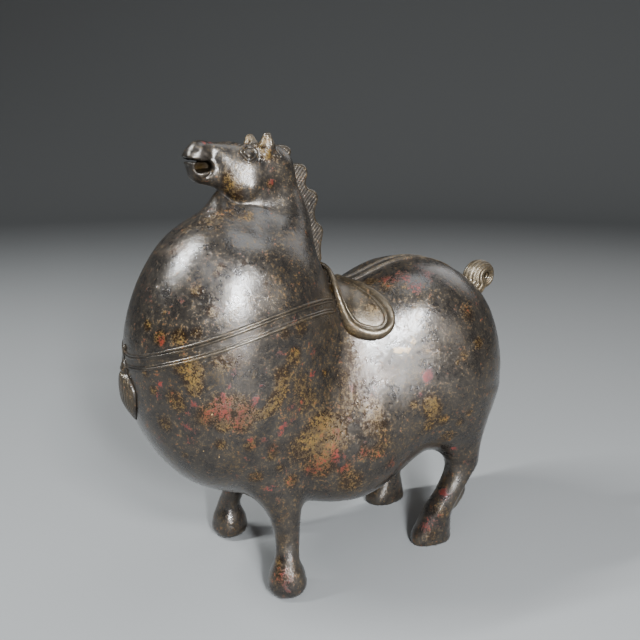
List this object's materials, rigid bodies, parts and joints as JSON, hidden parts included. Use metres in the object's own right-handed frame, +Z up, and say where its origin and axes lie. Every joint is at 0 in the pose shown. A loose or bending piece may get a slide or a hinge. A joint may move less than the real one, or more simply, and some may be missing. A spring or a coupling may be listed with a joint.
{
  "type": "horse sculpture",
  "caption": "Small cast bronze figure of a very round standing horse with a raised open-mouthed head, curled tail, saddle, chest strap and tassel.",
  "frame": {"origin": "on the ground under the middle of the bounding box", "axes": "+Z up; the horse faces -Y; its left side is +X"},
  "size_m": [0.0922, 0.1992, 0.2055],
  "materials": {
    "bronze": "dark brown bronze patina, satin to glossy, with ochre and red mottling"
  },
  "bodies": {
    "root": {"bronze_horse": "bronze"}
  },
  "joints": []
}
